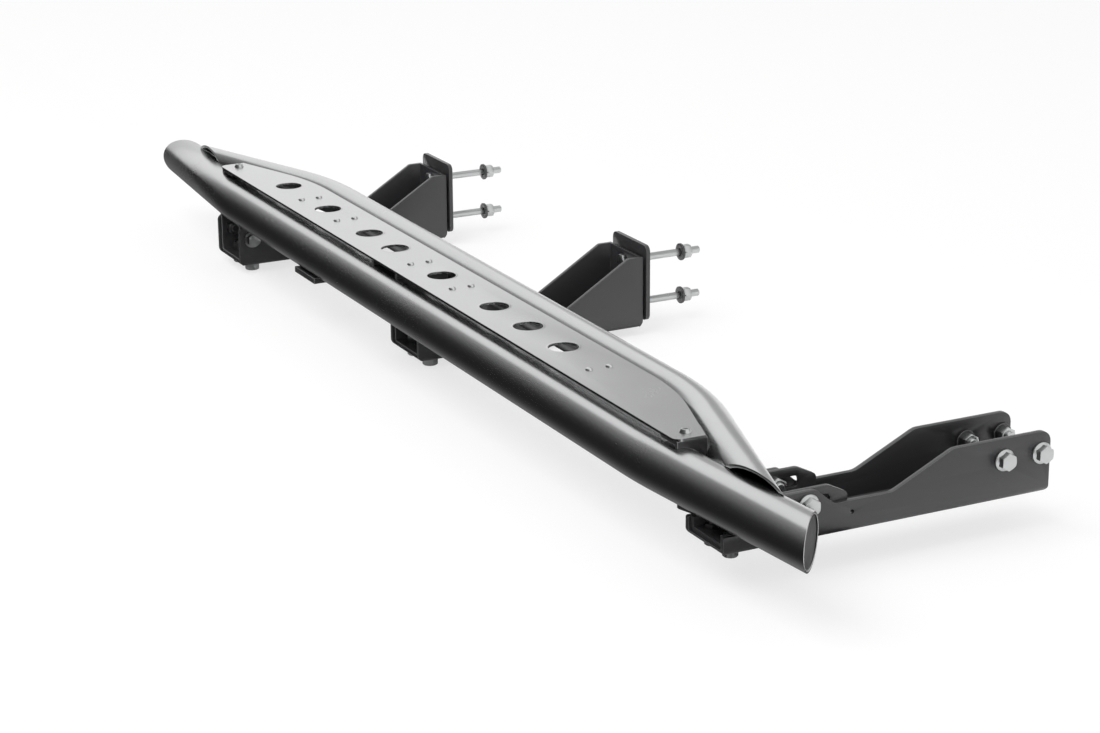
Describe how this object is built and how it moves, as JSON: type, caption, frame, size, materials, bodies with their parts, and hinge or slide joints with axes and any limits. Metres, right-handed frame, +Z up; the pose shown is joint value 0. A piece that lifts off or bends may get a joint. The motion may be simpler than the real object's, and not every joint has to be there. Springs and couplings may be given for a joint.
{
  "type": "side step bar",
  "caption": "Vehicle side step of two bent steel tubes with a pierced tread plate between them, carried by folded arms that bolt to the chassis.",
  "frame": {"origin": "midway between the middle arm's two chassis bolts, on the face of its backing plate that meets the vehicle", "axes": "+X along the bar towards the right arm, +Y towards the vehicle, +Z up"},
  "size_m": [1.8996, 0.5063, 0.1448],
  "materials": {
    "satin_steel": "satin silver-grey",
    "black_coat": "satin black powder coat",
    "zinc": "bright zinc plate",
    "black_plastic": "matt moulded"
  },
  "bodies": {
    "root": {"front_tube": "satin_steel", "rear_tube": "satin_steel", "tread_plate": "satin_steel", "left_tread_tab": "black_coat", "right_tread_tab": "black_coat", "tread_screws": "zinc", "tread_nuts": "zinc", "left_end_cap": "black_plastic", "right_end_cap": "black_plastic", "underside_tab": "black_coat", "left_arm": "black_coat", "middle_arm": "black_coat", "right_arm": "black_coat", "left_hanger": "black_coat", "middle_hanger": "black_coat", "right_hanger": "black_coat", "right_flange_plate": "black_coat", "left_backing_plate": "black_coat", "middle_backing_plate": "black_coat", "left_chassis_bolts": "zinc", "middle_chassis_bolts": "zinc", "left_chassis_washers": "black_coat", "middle_chassis_washers": "black_coat", "left_spring_washers": "zinc", "middle_spring_washers": "zinc", "left_chassis_nuts": "zinc", "middle_chassis_nuts": "zinc", "right_chassis_bolts": "zinc", "right_chassis_washers": "black_coat", "right_chassis_nuts": "zinc", "left_side_bolts": "zinc", "middle_side_bolts": "zinc", "left_side_nuts": "zinc", "middle_side_nuts": "zinc", "right_slot_bolts": "zinc", "right_slot_nuts": "zinc", "left_clamp_bolts": "zinc", "middle_clamp_bolts": "zinc", "right_clamp_bolts": "zinc", "left_clamp_nuts": "zinc", "middle_clamp_nuts": "zinc", "right_clamp_nuts": "zinc"}
  },
  "joints": []
}
